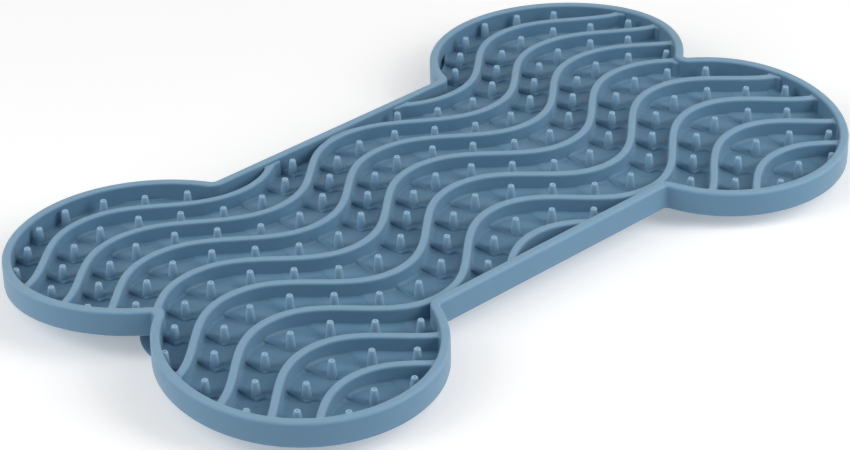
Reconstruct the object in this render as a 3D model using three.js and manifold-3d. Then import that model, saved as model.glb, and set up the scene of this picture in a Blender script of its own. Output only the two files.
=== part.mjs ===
import * as THREE from "three";
import { mergeVertices } from "three/addons/utils/BufferGeometryUtils.js";
import Module from "manifold-3d";

// A bone-shaped lick mat of moulded silicone, in millimetres with +Z up.
// X runs along the bone and Y across it. The origin is at the middle of the
// mat, on the surface that the lips of its two suction cups stand on.

// Outline: four round lobes joined by a straight shaft
const LENGTH = 260;
const LOBE_RADIUS = 42.2;
const LOBE_X = LENGTH / 2 - LOBE_RADIUS;
const LOBE_Y = 35.1;
const SHAFT_HALF_WIDTH = 50.2;
const SIDE_NOTCH_RADIUS = 1.6;
const END_NOTCH_RADIUS = 1.6;
const LOBE_STEPS = 22;
const NOTCH_STEPS = 2;

// Heights over the underside of the mat, on its middle line
const FLOOR_LOW = 1.2;
const STEP_HEIGHT = 1.1;
const RIB_TOP = 7.0;
const PEG_TOP = 7.1;
const RIM_TOP = 8.2;

// Rim and ribs
const RIM_WIDTH = 2.8;
const RIB_WIDTH = 2.4;
const RIB_PITCH = 17.4;
const RIB_LOWEST = -4;
const RIB_HIGHEST = 3;
const WAVE_LENGTH = 90;
const WAVE_HEIGHT = 11.7;
const WAVE_STEEPENING = 0.37;
const RIB_STEPS_PER_WAVE = 12;

// Pegs, one row along the middle of each channel
const PEGS_PER_WAVE = 8;
const PEG_FOOT_RADIUS = 1.5;
const PEG_TIP_RADIUS = 1.05;
const PEG_SIDES = 6;
const PEG_MARGIN = 3.4;
const STEP_AHEAD = 2;

// The soft mat hangs down a little on both sides of its middle line
const DROOP = 4.75;
const DROOP_REACH = 85;
const DROOP_STEPS = 14;

// Suction cups under the middle line. The section of one runs from the middle
// of its hollow, over the flat lip and the outside of the bell, up its neck.
const CUP_X = 88;
const CUP_HEIGHT = 9;
const CUP_SIDES = 24;
const CUP_SECTION = [
  { radius: 0, z: 5.4 },
  { radius: 10, z: 4.7 },
  { radius: 18, z: 2.4 },
  { radius: 22.6, z: 0 },
  { radius: 24, z: 0 },
  { radius: 24, z: 0.9 },
  { radius: 19, z: 4.0 },
  { radius: 12, z: 6.6 },
  { radius: 8, z: 7.6 },
  { radius: 6.5, z: 8.4 },
  { radius: 6.5, z: 9.4 },
  { radius: 0, z: 9.4 },
];

// The plate under the floor, and how deep the rest of the mould reaches into it
const PLATE_TOP = 1.0;
const BURIED = 0.4;
const RIM_BITE = 0.8;

// Solids that only cut or fill reach this far past the mat
const OVERHANG = 10;
const TALL = 100;
const MERGE_DISTANCE = 1e-4;

const wasm = await Module();
wasm.setup();

// A closed three.js geometry as a solid that can be joined and cut
function solidOf(geometry) {
  const bare = geometry.clone();
  bare.deleteAttribute("normal");
  bare.deleteAttribute("uv");
  const merged = mergeVertices(bare, MERGE_DISTANCE);
  const corners = [];
  for (let i = 0; i < merged.index.count; i += 3) {
    const [a, b, c] = [0, 1, 2].map((k) => merged.index.getX(i + k));
    if (a !== b && b !== c && c !== a) corners.push(a, b, c);
  }
  return new wasm.Manifold(new wasm.Mesh({
    numProp: 3,
    vertProperties: new Float32Array(merged.attributes.position.array),
    triVerts: new Uint32Array(corners),
  }));
}

function geometryOf(solid) {
  const mesh = solid.getMesh();
  const geometry = new THREE.BufferGeometry();
  geometry.setAttribute("position", new THREE.BufferAttribute(mesh.vertProperties, 3));
  geometry.setIndex(new THREE.BufferAttribute(mesh.triVerts, 1));
  geometry.computeVertexNormals();
  return geometry;
}

const joined = (solids) => solids.reduce((whole, solid) => whole.add(solid));

// How far the mat has sunk at a distance y from its middle line
const droop = (y) => (DROOP / 2) * (1 - Math.cos((Math.PI * y) / DROOP_REACH));

const heightAt = (y, level) => CUP_HEIGHT + level - droop(y);

// A drooping sheet from one level of the mat to another, wider than the mat
function layer(low, high) {
  const across = [];
  for (let i = 0; i <= DROOP_STEPS; i += 1) {
    across.push(-DROOP_REACH + (2 * DROOP_REACH * i) / DROOP_STEPS);
  }
  const section = new THREE.Shape([
    ...across.map((y) => new THREE.Vector2(y, heightAt(y, low))),
    ...across.reverse().map((y) => new THREE.Vector2(y, heightAt(y, high))),
  ]);
  const reach = LENGTH / 2 + OVERHANG;
  const sheet = new THREE.ExtrudeGeometry(section, { depth: 2 * reach, bevelEnabled: false });
  sheet.translate(0, 0, -reach);
  sheet.applyMatrix4(new THREE.Matrix4().makeBasis(
    new THREE.Vector3(0, 1, 0),
    new THREE.Vector3(0, 0, 1),
    new THREE.Vector3(1, 0, 0),
  ));
  return solidOf(sheet);
}

// An upright solid over a closed plan outline, taller than the mat
function upright(points) {
  const prism = new THREE.ExtrudeGeometry(new THREE.Shape(points), {
    depth: TALL,
    bevelEnabled: false,
  });
  prism.translate(0, 0, -TALL / 2);
  return solidOf(prism);
}

function arc(x, y, radius, from, to, steps) {
  const points = [];
  for (let i = 0; i <= steps; i += 1) {
    const angle = from + ((to - from) * i) / steps;
    points.push(new THREE.Vector2(x + radius * Math.cos(angle), y + radius * Math.sin(angle)));
  }
  return points;
}

// The bone's outline, moved inwards by inset. One quarter runs from the end
// notch round a lobe to the shaft, and the others mirror it.
function boneOutline(inset) {
  const sideY = SHAFT_HALF_WIDTH + SIDE_NOTCH_RADIUS;
  const sideReach = LOBE_RADIUS + SIDE_NOTCH_RADIUS;
  const sideX = LOBE_X - Math.sqrt(sideReach ** 2 - (sideY - LOBE_Y) ** 2);
  const endReach = LOBE_RADIUS + END_NOTCH_RADIUS;
  const endX = LOBE_X + Math.sqrt(endReach ** 2 - LOBE_Y ** 2);
  const toEnd = Math.atan2(-LOBE_Y, endX - LOBE_X);
  const toSide = Math.atan2(sideY - LOBE_Y, sideX - LOBE_X);
  const quarter = [
    ...arc(endX, 0, END_NOTCH_RADIUS + inset, Math.PI, toEnd + Math.PI, NOTCH_STEPS),
    ...arc(LOBE_X, LOBE_Y, LOBE_RADIUS - inset, toEnd, toSide, LOBE_STEPS).slice(1),
    ...arc(
      sideX, sideY, SIDE_NOTCH_RADIUS + inset, toSide - Math.PI, -Math.PI / 2, NOTCH_STEPS,
    ).slice(1),
  ];
  const flipped = (points, x, y) => points.map((p) => new THREE.Vector2(x * p.x, y * p.y));
  return [
    ...quarter,
    ...flipped(quarter, -1, 1).reverse(),
    ...flipped(quarter, -1, -1).slice(1),
    ...flipped(quarter, 1, -1).reverse().slice(0, -1),
  ];
}

// The wave that every rib and channel follows, and its slope
const TURN = (2 * Math.PI) / WAVE_LENGTH;

const wave = (x) => WAVE_HEIGHT * Math.cos(TURN * x) - WAVE_STEEPENING * Math.cos(3 * TURN * x);

const slope = (x) => TURN
  * (3 * WAVE_STEEPENING * Math.sin(3 * TURN * x) - WAVE_HEIGHT * Math.sin(TURN * x));

const channelY = (channel, x) => RIB_PITCH * (channel + 0.5) + wave(x);

// The plan of one rib, a ribbon of even width along the wave
function ribPlan(number) {
  const step = WAVE_LENGTH / RIB_STEPS_PER_WAVE;
  const count = Math.ceil(LENGTH / 2 / step);
  const sides = [[], []];
  for (let i = -count; i <= count; i += 1) {
    const x = i * step;
    const middle = new THREE.Vector2(x, RIB_PITCH * number + wave(x));
    const across = new THREE.Vector2(-slope(x), 1).setLength(RIB_WIDTH / 2);
    sides[0].push(middle.clone().sub(across));
    sides[1].push(middle.clone().add(across));
  }
  return [...sides[0], ...sides[1].reverse()];
}

// The wave's x at a length of arc from a crest, from a table over one wave
const TABLE_STEP = 0.25;
const arcTable = [{ x: 0, length: 0 }];
for (let x = TABLE_STEP; x <= WAVE_LENGTH; x += TABLE_STEP) {
  const last = arcTable.at(-1);
  const chord = Math.hypot(x - last.x, wave(x) - wave(last.x));
  arcTable.push({ x, length: last.length + chord });
}
const WAVE_ARC = arcTable.at(-1).length;
const PEG_STEP = WAVE_ARC / PEGS_PER_WAVE;

function xAtArc(arcLength) {
  const turns = Math.floor(arcLength / WAVE_ARC);
  const rest = arcLength - turns * WAVE_ARC;
  const next = arcTable.findIndex(({ length }) => length > rest);
  const [from, to] = [arcTable.at(next - 1), arcTable.at(next)];
  const share = (rest - from.length) / (to.length - from.length);
  return turns * WAVE_LENGTH + from.x + share * (to.x - from.x);
}

const pegNumbers = [];
const lastPeg = PEGS_PER_WAVE * Math.ceil(LENGTH / 2 / WAVE_LENGTH);
for (let i = -lastPeg; i <= lastPeg; i += 1) pegNumbers.push(i);

// The floor of one channel: low steps, each highest just before a peg and
// falling away behind it to the foot of the next one
function steppedFloor(channel) {
  const rows = [];
  const addRow = (arcLength, level) => {
    const x = xAtArc(arcLength);
    const tilt = Math.atan(slope(x));
    const half = (RIB_PITCH / 2) * Math.cos(tilt);
    const ends = [-half, half].map((reach) => [
      x - reach * Math.sin(tilt),
      channelY(channel, x) + reach * Math.cos(tilt),
    ]);
    rows.push({ ends, level });
  };
  pegNumbers.forEach((number) => {
    const front = number * PEG_STEP - STEP_AHEAD;
    addRow(front, FLOOR_LOW);
    addRow(front, FLOOR_LOW + STEP_HEIGHT);
  });
  const positions = [];
  const index = [];
  rows.forEach(({ ends, level }) => {
    ends.forEach(([x, y]) => {
      positions.push(x, y, heightAt(y, BURIED), x, y, heightAt(y, level));
    });
  });
  const quad = (a, b, c, d) => index.push(a, b, c, a, c, d);
  for (let i = 0; i + 1 < rows.length; i += 1) {
    const [a, b] = [4 * i, 4 * (i + 1)];
    quad(a + 1, b + 1, b + 3, a + 3);
    quad(a + 2, b + 2, b, a);
    quad(a, b, b + 1, a + 1);
    quad(a + 3, b + 3, b + 2, a + 2);
  }
  const last = 4 * (rows.length - 1);
  quad(0, 1, 3, 2);
  quad(last, last + 2, last + 3, last + 1);
  const strip = new THREE.BufferGeometry();
  strip.setAttribute("position", new THREE.Float32BufferAttribute(positions, 3));
  strip.setIndex(index);
  return strip;
}

// Whether a peg's middle has room inside the rim
function hasRoom(x, y) {
  const inShaft = Math.abs(x) < LOBE_X && Math.abs(y) < SHAFT_HALF_WIDTH - PEG_MARGIN;
  const fromLobe = Math.hypot(Math.abs(x) - LOBE_X, Math.abs(y) - LOBE_Y);
  return inShaft || fromLobe < LOBE_RADIUS - PEG_MARGIN;
}

function peg(x, y) {
  const height = PEG_TOP - BURIED;
  const post = new THREE.CylinderGeometry(PEG_TIP_RADIUS, PEG_FOOT_RADIUS, height, PEG_SIDES);
  post.rotateX(Math.PI / 2);
  post.translate(x, y, heightAt(y, BURIED) + height / 2);
  return solidOf(post);
}

// One suction cup: a short neck that widens into a hollow bell with a flat lip
function suctionCup(x) {
  const section = CUP_SECTION.map(({ radius, z }) => new THREE.Vector2(radius, z));
  const bell = new THREE.LatheGeometry(section, CUP_SIDES);
  bell.rotateX(Math.PI / 2);
  bell.translate(x, 0, 0);
  return solidOf(bell);
}

function matSolid() {
  const outside = upright(boneOutline(0));
  const inside = upright(boneOutline(RIM_WIDTH));
  const bitten = upright(boneOutline(RIM_WIDTH - RIM_BITE));
  const tray = layer(0, RIM_TOP).intersect(outside)
    .subtract(layer(PLATE_TOP, RIM_TOP + OVERHANG).intersect(inside));
  const ribs = [];
  for (let number = RIB_LOWEST; number <= RIB_HIGHEST; number += 1) {
    ribs.push(upright(ribPlan(number)));
  }
  const floors = [];
  const pegs = [];
  for (let channel = RIB_LOWEST - 1; channel <= RIB_HIGHEST; channel += 1) {
    floors.push(solidOf(steppedFloor(channel)));
    pegNumbers
      .map((number) => xAtArc(number * PEG_STEP))
      .map((x) => [x, channelY(channel, x)])
      .filter(([x, y]) => hasRoom(x, y))
      .forEach(([x, y]) => pegs.push(peg(x, y)));
  }
  const relief = joined(floors).add(joined(ribs).intersect(layer(BURIED, RIB_TOP)));
  return tray
    .add(relief.intersect(bitten))
    .add(joined(pegs))
    .add(suctionCup(-CUP_X))
    .add(suctionCup(CUP_X));
}

const silicone = new THREE.MeshStandardMaterial({
  color: 0x7495ae,
  roughness: 0.55,
  metalness: 0,
  flatShading: true,
});

const mat = new THREE.Mesh(geometryOf(matSolid()), silicone);
mat.name = "mat";

const part = new THREE.Group();
part.add(mat);

export default part;
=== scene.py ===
import math

import bpy
import numpy as np
from mathutils import Matrix, Vector
from mathutils.geometry import delaunay_2d_cdt


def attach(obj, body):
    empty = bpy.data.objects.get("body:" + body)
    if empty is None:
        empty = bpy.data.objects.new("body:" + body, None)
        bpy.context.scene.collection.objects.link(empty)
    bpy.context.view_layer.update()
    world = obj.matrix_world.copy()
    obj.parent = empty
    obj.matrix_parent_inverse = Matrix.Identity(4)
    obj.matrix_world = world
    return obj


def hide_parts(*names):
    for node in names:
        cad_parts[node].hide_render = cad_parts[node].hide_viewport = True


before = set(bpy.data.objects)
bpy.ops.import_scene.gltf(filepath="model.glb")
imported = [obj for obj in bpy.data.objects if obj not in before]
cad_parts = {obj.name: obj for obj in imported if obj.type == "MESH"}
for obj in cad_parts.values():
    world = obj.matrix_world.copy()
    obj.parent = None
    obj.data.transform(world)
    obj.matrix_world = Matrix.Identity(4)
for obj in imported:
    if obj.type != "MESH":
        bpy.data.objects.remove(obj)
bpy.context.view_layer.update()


# The tray is the outside of the moulding, in soft blue silicone: a thin plate with
# a low rim that runs round the outline of a bone. It hangs down a little on both
# sides of its middle line. Sizes are in millimetres and angles in degrees.
MM = 0.001
LENGTH = 259.8
LOBE_RADIUS = 42.2
LOBE_X = LENGTH / 2 - LOBE_RADIUS
LOBE_Y = 35.1
SHAFT_HALF_WIDTH = 50.2
NOTCH_RADIUS = 1.6
DROOP = 4.75
DROOP_REACH = 85
CUP_HEIGHT = 9
RIM_TOP = 8.2
RIM_WIDTH = 2.8
RIM_ROUNDING = 0.75
RIM_COVE = 0.9
RIM_COVE_FOOT = 1.45
UNDER_ROUNDING = 0.5
PLATE_TOP = 0.95
PLATE_EDGE = 0.3
LOBE_STEPS = 110
NOTCH_STEPS = 10
SHAFT_STEPS = 30
CORNER_STEPS = 5
FILL_SPACING = 6
FILL_TOLERANCE = 1e-6
INSIDE_ONLY = 1


def droop(y):
    """How far the mat hangs down at a distance from its middle line."""
    return DROOP / 2 * (1 - np.cos(math.pi * np.asarray(y, float) / DROOP_REACH))


def placed(points):
    """Places in the frame, in metres, of points whose Z is a height over the mat's underside."""
    points = np.array(points, float).reshape(-1, 3)
    points[:, 2] += CUP_HEIGHT - droop(points[:, 1])
    return points * MM


def arc(centre, radius, start, end, steps):
    """Points on an arc between two angles in radians."""
    angles = np.linspace(start, end, steps + 1)
    return np.c_[centre[0] + radius * np.cos(angles), centre[1] + radius * np.sin(angles)]


def bone_outline(inset):
    """The bone's outline moved inwards, as a closed row of plan points, as many for every inset."""
    side_y = SHAFT_HALF_WIDTH + NOTCH_RADIUS
    reach = LOBE_RADIUS + NOTCH_RADIUS
    side_x = LOBE_X - math.sqrt(reach ** 2 - (side_y - LOBE_Y) ** 2)
    end_x = LOBE_X + math.sqrt(reach ** 2 - LOBE_Y ** 2)
    to_end = math.atan2(-LOBE_Y, end_x - LOBE_X)
    to_side = math.atan2(side_y - LOBE_Y, side_x - LOBE_X)
    notch = NOTCH_RADIUS + inset
    shaft = np.c_[
        np.linspace(side_x, 0, SHAFT_STEPS + 1),
        np.full(SHAFT_STEPS + 1, SHAFT_HALF_WIDTH - inset),
    ]
    quarter = np.vstack([
        arc((end_x, 0), notch, math.pi, to_end + math.pi, NOTCH_STEPS),
        arc((LOBE_X, LOBE_Y), LOBE_RADIUS - inset, to_end, to_side, LOBE_STEPS)[1:],
        arc((side_x, side_y), notch, to_side - math.pi, -math.pi / 2, NOTCH_STEPS)[1:],
        shaft[1:],
    ])
    return np.vstack([
        quarter[:-1],
        (quarter * (-1, 1))[::-1][:-1],
        (quarter * (-1, -1))[:-1],
        (quarter * (1, -1))[::-1][:-1],
    ])


def corner(inset, level, radius, start, end):
    """A rounded corner of a section about its centre, as rows of inset and level."""
    points = arc((inset, level), radius, math.radians(start), math.radians(end), CORNER_STEPS)
    return [tuple(point) for point in points]


def ring_faces(rows, columns):
    """Quads that join rows of points that each close on themselves."""
    faces = []
    for row in range(rows - 1):
        low = row * columns
        high = low + columns
        for column in range(columns):
            after = (column + 1) % columns
            faces.append((low + column, low + after, high + after, high + column))
    return faces


def filled(loop):
    """Points and triangles that fill a plan outline, and the outline's point that each point is."""
    low, high = loop.min(0), loop.max(0)
    across = [np.arange(low[axis] + FILL_SPACING / 2, high[axis], FILL_SPACING) for axis in (0, 1)]
    grid = np.stack(np.meshgrid(*across), -1).reshape(-1, 2)
    gap = np.linalg.norm(grid[:, None] - loop[None], axis=2).min(1)
    inner = grid[gap > FILL_SPACING / 2]
    points = [Vector(point) for point in np.vstack([loop, inner])]
    border = [list(range(len(loop)))]
    made = delaunay_2d_cdt(points, [], border, INSIDE_ONLY, FILL_TOLERANCE)
    return made[0], made[2], made[3]


def mesh_piece(name, points, faces):
    """A new object with a mesh of the given points and faces."""
    mesh = bpy.data.meshes.new(name)
    mesh.from_pydata([tuple(point) for point in points], [], faces)
    mesh.validate()
    piece = bpy.data.objects.new(name, mesh)
    bpy.context.collection.objects.link(piece)
    return piece


# From the edge of the underside up the outer wall, over the rim and down to the plate
rim_section = [
    *corner(UNDER_ROUNDING, UNDER_ROUNDING, UNDER_ROUNDING, 270, 180),
    *corner(RIM_ROUNDING, RIM_TOP - RIM_ROUNDING, RIM_ROUNDING, 180, 90),
    *corner(RIM_WIDTH - RIM_ROUNDING, RIM_TOP - RIM_ROUNDING, RIM_ROUNDING, 90, 0),
    *corner(RIM_WIDTH + RIM_COVE, RIM_COVE_FOOT + RIM_COVE, RIM_COVE, 180, 270),
    (RIM_WIDTH + RIM_COVE + PLATE_EDGE, PLATE_TOP),
]
loops = [bone_outline(inset) for inset, _ in rim_section]
loop_count = len(loops[0])
tray_points = [(x, y, level) for loop, (_, level) in zip(loops, rim_section) for x, y in loop]
tray_faces = ring_faces(len(rim_section), loop_count)
# The first loop is filled by the underside, which faces down, and the last by the plate's top
for row, faces_down in ((0, True), (len(rim_section) - 1, False)):
    fill_points, fill_faces, sources = filled(loops[row])
    numbers = []
    for point, source in zip(fill_points, sources):
        if source and source[0] < loop_count:
            numbers.append(row * loop_count + source[0])
        else:
            numbers.append(len(tray_points))
            tray_points.append((point[0], point[1], rim_section[row][1]))
    for fill_face in fill_faces:
        face = tuple(numbers[index] for index in fill_face)
        tray_faces.append(face[::-1] if faces_down else face)
tray = mesh_piece("tray", placed(tray_points), tray_faces)

SILICONE = (0.108, 0.237, 0.362, 1)
SILICONE_PALE = (0.132, 0.270, 0.396, 1)
SILICONE_DEEP = (0.093, 0.214, 0.335, 1)
# A pale tone painted on as a highlight where light falls on the tops and the pegs' tips
SILICONE_PAINTED_HIGHLIGHT = (0.285, 0.458, 0.598, 1)
CLOUD = {"Scale": 38.0, "Detail": 3.0}
STREAK = {"Scale": 260.0, "Detail": 4.0}
GRAIN = {"Scale": 2600.0, "Detail": 2.0}
TONE_SHARE = 0.35
TONE_SWING = 0.3
ROUGHNESS = 0.50
ROUGHNESS_SWING = 0.10
GRAIN_RELIEF = 0.7
STREAK_RELIEF = 0.6
# The shader's own lengths are in metres
RELIEF = {"Strength": 0.25, "Distance": 0.00012}
SILICONE_BODY = {
    "IOR": 1.43,
    "Subsurface Weight": 0.6,
    "Subsurface Radius": (0.6, 0.9, 1.2),
    "Subsurface Scale": 0.0015,
    "Sheen Weight": 0.25,
    "Sheen Roughness": 0.5,
}
# Levels between which a painted highlight makes the tops paler, and its shares below and above them
RIM_PAINTED_HIGHLIGHT = (7.1, 8.3, 0.0, 0.68)
SHARP_ANGLE = 35
# Places of the sockets of a node that mixes colours
MIX_SHARE, MIX_FIRST, MIX_SECOND = 0, 6, 7
MIX_RESULT = 2


class Socket:
    """A node's output that Python's operators can be used on."""

    def __init__(self, tree, output):
        self.tree = tree
        self.output = output

    def math(self, operation, *values):
        return node(self.tree, "ShaderNodeMath", {"operation": operation}, values)

    def __add__(self, other):
        return self.math("ADD", self, other)

    def __radd__(self, other):
        return self.math("ADD", other, self)

    def __sub__(self, other):
        return self.math("SUBTRACT", self, other)

    def __rsub__(self, other):
        return self.math("SUBTRACT", other, self)

    def __mul__(self, other):
        return self.math("MULTIPLY", self, other)

    def __rmul__(self, other):
        return self.math("MULTIPLY", other, self)


def node(tree, kind, settings=None, values=(), output=0):
    """One node of any type: its settings first, then values or links for its sockets.

    Sockets go by place or by name. What comes back is one output, if the node has any."""
    made = tree.nodes.new(kind)
    for key, value in (settings or {}).items():
        setattr(made, key, value)
    pairs = values.items() if isinstance(values, dict) else enumerate(values)
    for key, value in pairs:
        if isinstance(value, Socket):
            tree.links.new(value.output, made.inputs[key])
        else:
            made.inputs[key].default_value = value
    return Socket(tree, made.outputs[output]) if len(made.outputs) else None


def mixed(tree, share, first, second):
    """A colour between two others."""
    values = {MIX_SHARE: share, MIX_FIRST: first, MIX_SECOND: second}
    return node(tree, "ShaderNodeMix", {"data_type": "RGBA"}, values, MIX_RESULT)


def silicone(name, painted_light):
    """Matt pigmented silicone, cloudy in tone, with the grain of a blasted mould.

    It is painted paler upwards between two levels, as a painted highlight. A piece's UV map named
    level says how high it is."""
    material = bpy.data.materials.new(name)
    material.use_nodes = True
    tree = material.node_tree
    tree.nodes.clear()
    place = node(tree, "ShaderNodeTexCoord", output="Object")
    cloud = node(tree, "ShaderNodeTexNoise", values={"Vector": place, **CLOUD})
    streak = node(tree, "ShaderNodeTexNoise", values={"Vector": place, **STREAK})
    grain = node(tree, "ShaderNodeTexNoise", values={"Vector": place, **GRAIN})
    tone = mixed(tree, cloud, SILICONE_DEEP, SILICONE_PALE)
    colour = mixed(tree, TONE_SHARE + TONE_SWING * streak, SILICONE, tone)
    uv = node(tree, "ShaderNodeUVMap", {"uv_map": "level"})
    level = node(tree, "ShaderNodeSeparateXYZ", values=(uv,), output="Y")
    # The share of the painted highlight at each point's level
    painted_light_share = node(tree, "ShaderNodeMapRange", values=(level, *painted_light))
    height = GRAIN_RELIEF * grain + STREAK_RELIEF * streak
    shader = node(tree, "ShaderNodeBsdfPrincipled", values={
        "Base Color": mixed(tree, painted_light_share, colour, SILICONE_PAINTED_HIGHLIGHT),
        "Roughness": ROUGHNESS + ROUGHNESS_SWING * cloud,
        "Normal": node(tree, "ShaderNodeBump", values={"Height": height, **RELIEF}),
        **SILICONE_BODY,
    })
    node(tree, "ShaderNodeOutputMaterial", values={"Surface": shader})
    return material


def finished(piece, material, sharp_angle=SHARP_ANGLE):
    """Shades a piece, maps its level, gives it its finish and fixes it to the mat's one body."""
    mesh = piece.data
    mesh.shade_smooth()
    mesh.set_sharp_from_angle(angle=math.radians(sharp_angle))
    places = np.empty(len(mesh.vertices) * 3)
    mesh.vertices.foreach_get("co", places)
    places = places.reshape(-1, 3) / MM
    level = places[:, 2] - CUP_HEIGHT + droop(places[:, 1])
    used = np.empty(len(mesh.loops), int)
    mesh.loops.foreach_get("vertex_index", used)
    uv_map = mesh.uv_layers.new(name="level")
    uv_map.uv.foreach_set("vector", np.c_[places[:, 0], level][used].astype(np.float32).ravel())
    mesh.materials.clear()
    mesh.materials.append(material)
    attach(piece, "root")
    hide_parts("mat")


rim_rubber = silicone("rim silicone", RIM_PAINTED_HIGHLIGHT)
finished(tray, rim_rubber)


# The ribs are thin upright walls of the same moulding, about as tall as the pegs.
# All follow one wave along the bone, a pitch apart, and run into the rim's wall.
# Their top edges are rounded, and they widen a little where they meet the rim.
WAVE_LENGTH = 90
WAVE_HEIGHT = 11.7
WAVE_STEEPENING = 0.37
WAVE_START = 0.5
TURN = 2 * math.pi / WAVE_LENGTH
RIB_PITCH = 17.4
RIB_NUMBERS = range(-4, 4)
RIB_TOP = 7.0
RIB_FOOT = 0.6
RIB_HALF_WIDTH = 1.2
RIB_DRAFT = 0.12
RIB_ROUNDING = 0.62
RIB_STEP = 0.8
RIB_END_FLARE = 1.3
# Levels between which a painted highlight makes the ribs' tops paler, and its shares below and
# above them
RIB_PAINTED_HIGHLIGHT = (5.9, 7.0, 0.0, 0.6)
CLIP_INSET = 1.5
CLIP_HEIGHT = 30


def wave(x):
    """The line that all the ribs and rows of pegs follow."""
    angle = TURN * (x - WAVE_START)
    return WAVE_HEIGHT * np.cos(angle) - WAVE_STEEPENING * np.cos(3 * angle)


def slope(x):
    """The wave's rise over its run."""
    angle = TURN * (x - WAVE_START)
    return TURN * (3 * WAVE_STEEPENING * np.sin(3 * angle) - WAVE_HEIGHT * np.sin(angle))


def wall_distance(x, y):
    """How far a plan point lies inside the rim's inner wall."""
    lobe = LOBE_RADIUS - np.hypot(abs(x) - LOBE_X, abs(y) - LOBE_Y)
    shaft = np.where(abs(x) < LOBE_X, SHAFT_HALF_WIDTH - abs(y), -LENGTH)
    return np.maximum(lobe, shaft) - RIM_WIDTH


def end_flare(x, y):
    """How much the face of a rib widens at a plan point, in a quarter round up to the rim."""
    gap = min(max(float(wall_distance(x, y)), 0), RIB_END_FLARE)
    return RIB_END_FLARE - math.sqrt(RIB_END_FLARE ** 2 - (RIB_END_FLARE - gap) ** 2)


def grid_faces(rows, columns):
    """Quads that join rows of points with open ends."""
    faces = []
    for row in range(rows - 1):
        for column in range(columns - 1):
            first = row * columns + column
            faces.append((first, first + columns, first + columns + 1, first + 1))
    return faces


def joined(bodies):
    """The points and the faces of several bodies as one list of each."""
    points = []
    faces = []
    for body_points, body_faces in bodies:
        first = len(points)
        points += [tuple(point) for point in body_points]
        faces += [tuple(first + index for index in face) for face in body_faces]
    return points, faces


def made_plain(piece):
    """Replaces a piece's mesh by what its modifiers make of it."""
    depsgraph = bpy.context.evaluated_depsgraph_get()
    result = bpy.data.meshes.new_from_object(piece.evaluated_get(depsgraph))
    piece.modifiers.clear()
    piece.data = result


def clipped(piece):
    """Cuts a piece off inside the rim's wall, so that it ends in the rim all round."""
    loop = bone_outline(CLIP_INSET)
    count = len(loop)
    points = [(x * MM, y * MM, z * MM) for z in (-CLIP_HEIGHT, CLIP_HEIGHT) for x, y in loop]
    faces = ring_faces(2, count)
    faces += [tuple(range(count))[::-1], tuple(range(count, 2 * count))]
    cutter = mesh_piece("cutter", points, faces)
    cut = piece.modifiers.new("clip", "BOOLEAN")
    cut.operation = "INTERSECT"
    cut.solver = "MANIFOLD"
    cut.object = cutter
    made_plain(piece)
    bpy.data.objects.remove(cutter)


rib_side = [
    (RIB_HALF_WIDTH + RIB_DRAFT, RIB_FOOT),
    *corner(RIB_HALF_WIDTH - RIB_ROUNDING, RIB_TOP - RIB_ROUNDING, RIB_ROUNDING, 0, 90),
]
rib_section = [(-offset, level) for offset, level in rib_side] + rib_side[::-1]
stations = np.arange(-LENGTH / 2, LENGTH / 2 + RIB_STEP, RIB_STEP)


def rib(number):
    """Points and faces of one rib, a closed body with its section at every station."""
    points = []
    middle = RIB_PITCH * number + wave(stations)
    for x, y, tilt in zip(stations, middle, np.arctan(slope(stations))):
        place = np.array((x, y))
        across = np.array((-math.sin(tilt), math.cos(tilt)))
        left_flare = end_flare(*(place + RIB_HALF_WIDTH * across))
        right_flare = end_flare(*(place - RIB_HALF_WIDTH * across))
        for offset, level in rib_section:
            reach = offset + (left_flare if offset > 0 else -right_flare)
            points.append((*(place + reach * across), level))
    rows = len(stations)
    columns = len(rib_section)
    faces = grid_faces(rows, columns)
    for row in range(rows - 1):
        first = row * columns
        last = first + columns - 1
        faces.append((last, last + columns, first + columns, first))
    faces.append(tuple(range(columns)))
    faces.append(tuple(range((rows - 1) * columns, rows * columns))[::-1])
    return points, faces


rib_points, rib_faces = joined(rib(number) for number in RIB_NUMBERS)
ribs = mesh_piece("ribs", placed(rib_points), rib_faces)
clipped(ribs)
rib_rubber = silicone("rib silicone", RIB_PAINTED_HIGHLIGHT)
finished(ribs, rib_rubber)


# The floor of each channel between two ribs is moulded in low steps, like shingles.
# A step rises in front of each peg, bulges round the peg's foot, and falls away
# gently to the next one. A cove joins the floor to the ribs on both sides.
PEGS_PER_WAVE = 8
PEG_LAG = 0.4
FLOOR_LOW = 1.65
FLOOR_FOOT = 0.5
FLOOR_COVE = 1.1
FLOOR_OVERLAP = 0.25
STEP_HEIGHT = 1.2
STEP_SHARE_MEAN = 0.55
STEP_SHARE_SWING = 0.45
# Where a step's foot is in front of its peg, and how far it falls back on either side
STEP_NOSE = -2.05
STEP_NOSE_WIDTH = 2.2
STEP_BACK_LEFT = 0.7
STEP_BACK_RIGHT = 3.2
STEP_HEADING = 14
STEP_LEAN_MOST = 0.5
# Distance along the channel from a step's foot, and the share of its height there
STEP_PROFILE = (
    (-0.50, 0.00),
    (-0.06, 0.00),
    (0.00, 0.06),
    (0.07, 0.28),
    (0.19, 0.49),
    (0.40, 0.68),
    (0.72, 0.83),
    (1.15, 0.935),
    (1.65, 0.985),
    (2.20, 1.00),
)
STEP_START = STEP_PROFILE[0][0]
STEP_CREST = STEP_PROFILE[-1][0]
NEAR_ROWS = 5
FAR_ROWS = 9
NEAR_REACH = 4.4
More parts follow.
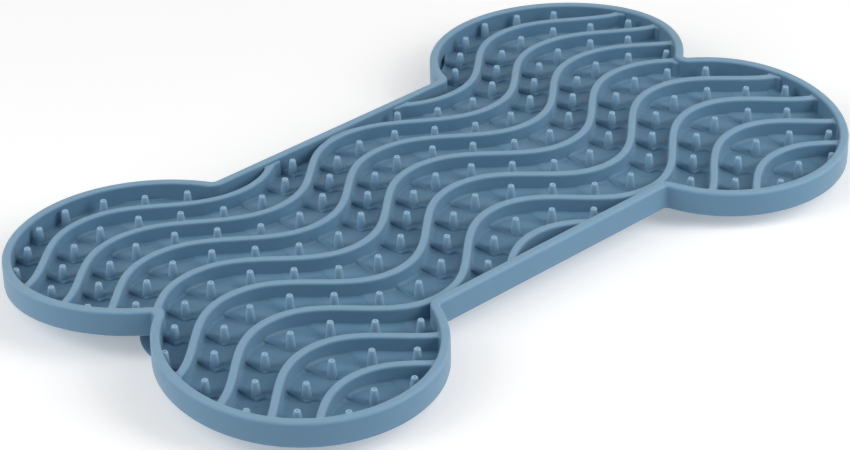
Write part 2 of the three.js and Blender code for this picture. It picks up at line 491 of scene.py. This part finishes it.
# Columns of points across a channel, and the shares of its half width that the pegs' band
# in its middle and the cove at its edge take
PEG_COLUMNS = 17
SIDE_COLUMNS = 5
COVE_COLUMNS = 5
PEG_SHARE = 0.42
COVE_SHARE = 0.15
WAVE_POINTS = 1801
HALVINGS = 30
CHANNELS = range(-5, 4)
FLOOR_GROUPS = {
    "floor_front": CHANNELS[:3],
    "floor_middle": CHANNELS[3:6],
    "floor_back": CHANNELS[6:],
}

wave_x = WAVE_START + np.linspace(0, WAVE_LENGTH, WAVE_POINTS)
wave_arc = np.r_[0, np.cumsum(np.hypot(np.diff(wave_x), np.diff(wave(wave_x))))]
WAVE_ARC = wave_arc[-1]
PEG_STEP = WAVE_ARC / PEGS_PER_WAVE


def x_at_arc(length):
    """The place along the bone at a length of arc from a crest of the wave."""
    turns = np.floor(np.asarray(length) / WAVE_ARC)
    return turns * WAVE_LENGTH + np.interp(length - turns * WAVE_ARC, wave_arc, wave_x)


def side_reach(x, side):
    """Distance across a channel from its middle line to the rib on one side, found by halving."""
    tilt = np.arctan(slope(x))
    low, high = np.zeros_like(x), np.full_like(x, RIB_PITCH)
    for _ in range(HALVINGS):
        reach = (low + high) / 2
        there = x - side * reach * np.sin(tilt)
        rise = side * (wave(x) + side * reach * np.cos(tilt) - wave(there))
        gap = (RIB_PITCH / 2 - rise) * np.cos(np.arctan(slope(there)))
        inside = gap > RIB_HALF_WIDTH
        low, high = np.where(inside, reach, low), np.where(inside, high, reach)
    return low


def channel_line(channel, x):
    """The middle line of a channel, which is the wave half a pitch from its two ribs."""
    return RIB_PITCH * (channel + 0.5) + wave(x)


def peg_turn(number):
    """Sine of a peg's angle along its wave: 1 where the wave falls and -1 where it climbs."""
    return np.sin(2 * math.pi * number / PEGS_PER_WAVE)


def peg_arc(number):
    """Length of arc at a peg. The pegs lie a little late where the wave climbs."""
    return number * PEG_STEP + PEG_LAG * (1 - peg_turn(number))


def step_height(number):
    """The steps are tallest where the wave climbs and nearly vanish where it falls."""
    return STEP_HEIGHT * (STEP_SHARE_MEAN - STEP_SHARE_SWING * peg_turn(number))


def step_share(distance):
    """The floor's height over its lowest level, as a share of a step, behind the step's foot."""
    rise = np.interp(distance, *np.array(STEP_PROFILE).T)
    fall = np.clip((distance - STEP_CREST) / (PEG_STEP - 2 * STEP_CREST), 0, 1)
    return np.where(distance < STEP_CREST, rise, 1 - fall)


def step_line(across, x):
    """Place of a step's foot along the channel from its peg, at a distance across the channel.

    The feet of all the steps lie nearly square to one heading over the whole mat."""
    most = np.where(across > 0, STEP_BACK_LEFT, STEP_BACK_RIGHT)
    back = most * (1 - np.exp(-(across / STEP_NOSE_WIDTH) ** 2))
    lean = np.tan(np.arctan(slope(x)) - math.radians(STEP_HEADING))
    return STEP_NOSE + back + np.maximum(lean, -STEP_LEAN_MOST) * across


step_rows = np.r_[
    [distance for distance, _ in STEP_PROFILE],
    np.linspace(STEP_CREST, NEAR_REACH, NEAR_ROWS + 1)[1:],
    np.linspace(NEAR_REACH, PEG_STEP + STEP_START, FAR_ROWS + 1)[1:-1],
]
outer_shares = np.r_[
    np.linspace(PEG_SHARE, 1 - COVE_SHARE, SIDE_COLUMNS + 1)[1:],
    np.linspace(1 - COVE_SHARE, 1, COVE_COLUMNS + 1)[1:],
]
column_shares = np.r_[
    -outer_shares[::-1],
    np.linspace(-PEG_SHARE, PEG_SHARE, PEG_COLUMNS),
    outer_shares,
]
last_peg = PEGS_PER_WAVE * math.ceil(LENGTH / 2 / WAVE_LENGTH)
peg_numbers = np.arange(-last_peg, last_peg + 1)


def floor_top(channel):
    """Rows of points on one channel's floor, each from rib to rib."""
    rows = np.concatenate([peg_arc(number) + step_rows for number in peg_numbers])
    behind = np.tile(step_rows, len(peg_numbers))
    height = np.repeat(step_height(peg_numbers), len(step_rows))
    row_x = x_at_arc(rows)
    reach = {side: side_reach(row_x, side) + FLOOR_OVERLAP for side in (-1, 1)}
    columns = []
    for share in column_shares:
        side = 1 if share > 0 else -1
        x = x_at_arc(rows + step_line(share * reach[side], row_x))
        tilt = np.arctan(slope(x))
        edge = side_reach(x, side)
        across = share * (edge + FLOOR_OVERLAP)
        near = np.clip(edge - abs(across), 0, FLOOR_COVE)
        cove = FLOOR_COVE - np.sqrt(FLOOR_COVE ** 2 - (FLOOR_COVE - near) ** 2)
        columns.append(np.c_[
            x - across * np.sin(tilt),
            channel_line(channel, x) + across * np.cos(tilt),
            FLOOR_LOW + height * step_share(behind) + cove,
        ])
    return np.stack(columns, 1)


def floor_strip(channel):
    """Points and faces of one channel's floor, a closed body with a flat underside."""
    top = floor_top(channel)
    rows, columns = top.shape[:2]
    bottom = top[:, [0, -1]] * (1, 1, 0) + (0, 0, FLOOR_FOOT)
    count = rows * columns
    faces = grid_faces(rows, columns)
    for row in range(rows - 1):
        left = row * columns
        right = left + columns - 1
        low = count + 2 * row
        faces.append((low, low + 1, low + 3, low + 2))
        faces.append((left, low, low + 2, left + columns))
        faces.append((right, right + columns, low + 3, low + 1))
    low = count + 2 * (rows - 1)
    faces.append((*range(columns), count + 1, count))
    faces.append((*reversed(range(count - columns, count)), low, low + 1))
    return np.vstack([top.reshape(-1, 3), bottom.reshape(-1, 3)]), faces


for name, channels in FLOOR_GROUPS.items():
    floor_points, floor_faces = joined(floor_strip(channel) for channel in channels)
    floor_piece = mesh_piece(name, placed(floor_points), floor_faces)
    clipped(floor_piece)
    finished(floor_piece, rib_rubber)


# The pegs are short tapered posts, moulded in one with the floor, in one row along
# the middle of each channel. Each widens to its foot and has a small dimple in its
# rounded tip.
PEG_MARGIN = 0.6
PEG_SIDES = 12
PEG_HEIGHT_SPREAD = 0.012
PEG_SEED = 4
# Levels between which painted light makes the pegs paler towards their lit tips, and its shares
# below and above them
PEG_PAINTED_LIGHT = (0.8, 7.2, 0.0, 0.98)
PEG_SHARP_ANGLE = 60
# Radius and height over the mat's underside, from the hidden foot to the dimple
PEG_SECTION = (
    (2.00, 1.30),
    (1.78, 1.80),
    (1.58, 2.40),
    (1.44, 3.10),
    (1.34, 3.90),
    (1.21, 5.00),
    (1.05, 6.40),
    (0.98, 6.84),
    (0.86, 7.04),
    (0.68, 7.10),
    (0.50, 7.05),
    (0.36, 6.90),
    (0.26, 6.70),
)
PEG_INPUTS = {
    "Geometry": "NodeSocketGeometry",
    "Peg": "NodeSocketObject",
    "Height spread": "NodeSocketFloat",
    "Seed": "NodeSocketInt",
    "Finish": "NodeSocketMaterial",
}
# Places of the sockets of a node that draws numbers by chance
DRAW_LOW, DRAW_HIGH = 2, 3
DRAW_RESULT = 1


def lathed(section, sides):
    """Points and faces of a turned form round Z, closed at both ends."""
    angles = np.arange(sides) * 2 * math.pi / sides
    points = [
        (radius * math.cos(angle), radius * math.sin(angle), z)
        for radius, z in section
        for angle in angles
    ]
    faces = ring_faces(len(section), sides)
    faces.append(tuple(range(sides))[::-1])
    faces.append(tuple(range((len(section) - 1) * sides, len(section) * sides)))
    return points, faces


def peg_places():
    """Plan points of all the pegs that have room inside the rim."""
    places = []
    x = x_at_arc(peg_arc(peg_numbers))
    for channel in CHANNELS:
        y = channel_line(channel, x)
        roomy = wall_distance(x, y) > PEG_MARGIN
        places += list(zip(x[roomy], y[roomy]))
    return np.array(places)


def drawn(tree, low, high, seed):
    """A number for each point, drawn by chance between two others."""
    values = {DRAW_LOW: low, DRAW_HIGH: high, "Seed": seed}
    return node(tree, "FunctionNodeRandomValue", {"data_type": "FLOAT"}, values, DRAW_RESULT)


def peg_tree():
    """Stands a copy of the peg on every point, turned by chance and a little taller or lower."""
    tree = bpy.data.node_groups.new("peg rows", "GeometryNodeTree")
    for name, kind in PEG_INPUTS.items():
        tree.interface.new_socket(name, in_out="INPUT", socket_type=kind)
    tree.interface.new_socket("Geometry", in_out="OUTPUT", socket_type="NodeSocketGeometry")
    given = {name: node(tree, "NodeGroupInput", output=name) for name in PEG_INPUTS}
    peg = {"Object": given["Peg"], "As Instance": True}
    spread = given["Height spread"]
    height = drawn(tree, 1 - spread, 1 + spread, given["Seed"])
    turn = drawn(tree, 0.0, 2 * math.pi, given["Seed"])
    copies = node(tree, "GeometryNodeInstanceOnPoints", values={
        "Points": given["Geometry"],
        "Instance": node(tree, "GeometryNodeObjectInfo", values=peg, output="Geometry"),
        "Rotation": node(tree, "ShaderNodeCombineXYZ", values=(0.0, 0.0, turn)),
        "Scale": node(tree, "ShaderNodeCombineXYZ", values=(1.0, 1.0, height)),
    })
    real = node(tree, "GeometryNodeRealizeInstances", values=(copies,))
    painted = node(tree, "GeometryNodeSetMaterial", values={
        "Geometry": real,
        "Material": given["Finish"],
    })
    node(tree, "NodeGroupOutput", values={"Geometry": painted})
    return tree


def grown(piece, tree, inputs):
    """Runs a Geometry Nodes tree on a piece with the given inputs, and keeps the plain mesh."""
    grower = piece.modifiers.new(tree.name, "NODES")
    grower.node_group = tree
    for item in tree.interface.items_tree:
        if item.item_type == "SOCKET" and item.name in inputs:
            grower[item.identifier] = inputs[item.name]
    made_plain(piece)


peg_rubber = silicone("peg silicone", PEG_PAINTED_LIGHT)
form_points, form_faces = lathed(PEG_SECTION, PEG_SIDES)
peg_form = mesh_piece("peg_form", np.array(form_points) * MM, form_faces)
places = peg_places()
pegs = mesh_piece("pegs", placed(np.c_[places, np.zeros(len(places))]), [])
grown(pegs, peg_tree(), {
    "Peg": peg_form,
    "Height spread": PEG_HEIGHT_SPREAD,
    "Seed": PEG_SEED,
    "Finish": peg_rubber,
})
bpy.data.objects.remove(peg_form)
finished(pegs, peg_rubber, PEG_SHARP_ANGLE)


# Two suction cups of the same silicone, under the mat's middle line, hold it to a
# smooth floor. Each is a short neck that widens into a hollow bell with a thin
# flat lip.
CUP_X = 88
CUP_SIDES = 96
CUP_SHARP_ANGLE = 50
# Radius and height, from the middle of the hollow over the lip and up the neck
CUP_SECTION = (
    (0.4, 5.42),
    (5.0, 5.30),
    (10.0, 4.70),
    (14.5, 3.60),
    (18.0, 2.40),
    (21.0, 0.95),
    (22.6, 0.02),
    (23.0, 0.00),
    (23.7, 0.02),
    (24.0, 0.35),
    (23.8, 0.85),
    (21.5, 2.45),
    (19.0, 4.00),
    (15.5, 5.45),
    (12.0, 6.60),
    (9.0, 7.25),
    (7.3, 7.90),
    (6.6, 8.60),
    (6.5, 9.40),
)

turned, turned_faces = lathed(CUP_SECTION, CUP_SIDES)
both_cups = [(np.array(turned) + (centre, 0, 0), turned_faces) for centre in (-CUP_X, CUP_X)]
cup_points, cup_faces = joined(both_cups)
cups = mesh_piece("suction_cups", np.array(cup_points) * MM, cup_faces)
finished(cups, rim_rubber, CUP_SHARP_ANGLE)


# The studio has a pale floor under the cups' lips, soft light from large panels
# and an even sky, and a camera at the angle of the photograph. Its sizes are in
# metres, and the lens's in millimetres.
GROUND_SIZE = 6
GROUND_PAINT = {
    "Base Color": (0.86, 0.86, 0.86, 1),
    "Roughness": 0.9,
    "Emission Color": (1, 1, 1, 1),
    "Emission Strength": 0.27,
}
SKY = {"Color": (1, 1, 1, 1), "Strength": 0.22}
CAMERA_PLACE = (-0.5227, -0.5535, 0.4444)
# The camera's turn from Y towards X, its tip below the level, and its roll
CAMERA_YAW = 43.0119
CAMERA_PITCH = 30.3095
CAMERA_ROLL = -1.0943
FOCAL_LENGTH = 120.524
SENSOR_WIDTH = 36
PANEL_SIZE = 0.7
PANEL_DISTANCE = 1.1
# Azimuth and elevation, and power in watts
PANELS = {
    "right panel": (-62, 30, 6.3),
    "right top panel": (-45, 55, 2.2),
    "left panel": (154, 30, 4.7),
    "left top panel": (170, 55, 1.7),
}


def tuned(shader, values):
    """Sets the sockets of a ready-made shader node."""
    for key, value in values.items():
        shader.inputs[key].default_value = value


def light_panel(name, azimuth, elevation, power):
    """A round soft panel that faces the mat from a direction given in degrees."""
    panel = bpy.data.lights.new(name, "AREA")
    panel.shape = "DISK"
    panel.size = PANEL_SIZE
    panel.energy = power
    turn, rise = math.radians(azimuth), math.radians(elevation)
    way = Vector((math.cos(turn) * math.cos(rise), math.sin(turn) * math.cos(rise), math.sin(rise)))
    lamp = bpy.data.objects.new(name, panel)
    lamp.location = way * PANEL_DISTANCE
    lamp.rotation_euler = (-way).to_track_quat("-Z", "Y").to_euler()
    bpy.context.collection.objects.link(lamp)


half = GROUND_SIZE / 2
ground_points = [(-half, -half, 0), (half, -half, 0), (half, half, 0), (-half, half, 0)]
ground = mesh_piece("ground", ground_points, [(0, 1, 2, 3)])
ground_paint = bpy.data.materials.new("ground paint")
ground_paint.use_nodes = True
tuned(ground_paint.node_tree.nodes["Principled BSDF"], GROUND_PAINT)
ground.data.materials.append(ground_paint)

for name, (azimuth, elevation, power) in PANELS.items():
    light_panel(name, azimuth, elevation, power)
sky = bpy.data.worlds.new("sky")
sky.use_nodes = True
tuned(sky.node_tree.nodes["Background"], SKY)
bpy.context.scene.world = sky
bpy.context.scene.view_settings.view_transform = "Standard"

lens = bpy.data.cameras.new("camera")
lens.sensor_width = SENSOR_WIDTH
lens.lens = FOCAL_LENGTH
camera = bpy.data.objects.new("camera", lens)
bpy.context.collection.objects.link(camera)
camera.matrix_world = (
    Matrix.Translation(CAMERA_PLACE)
    @ Matrix.Rotation(math.radians(-CAMERA_YAW), 4, "Z")
    @ Matrix.Rotation(math.radians(90 - CAMERA_PITCH), 4, "X")
    @ Matrix.Rotation(math.radians(CAMERA_ROLL), 4, "Z")
)
bpy.context.scene.camera = camera
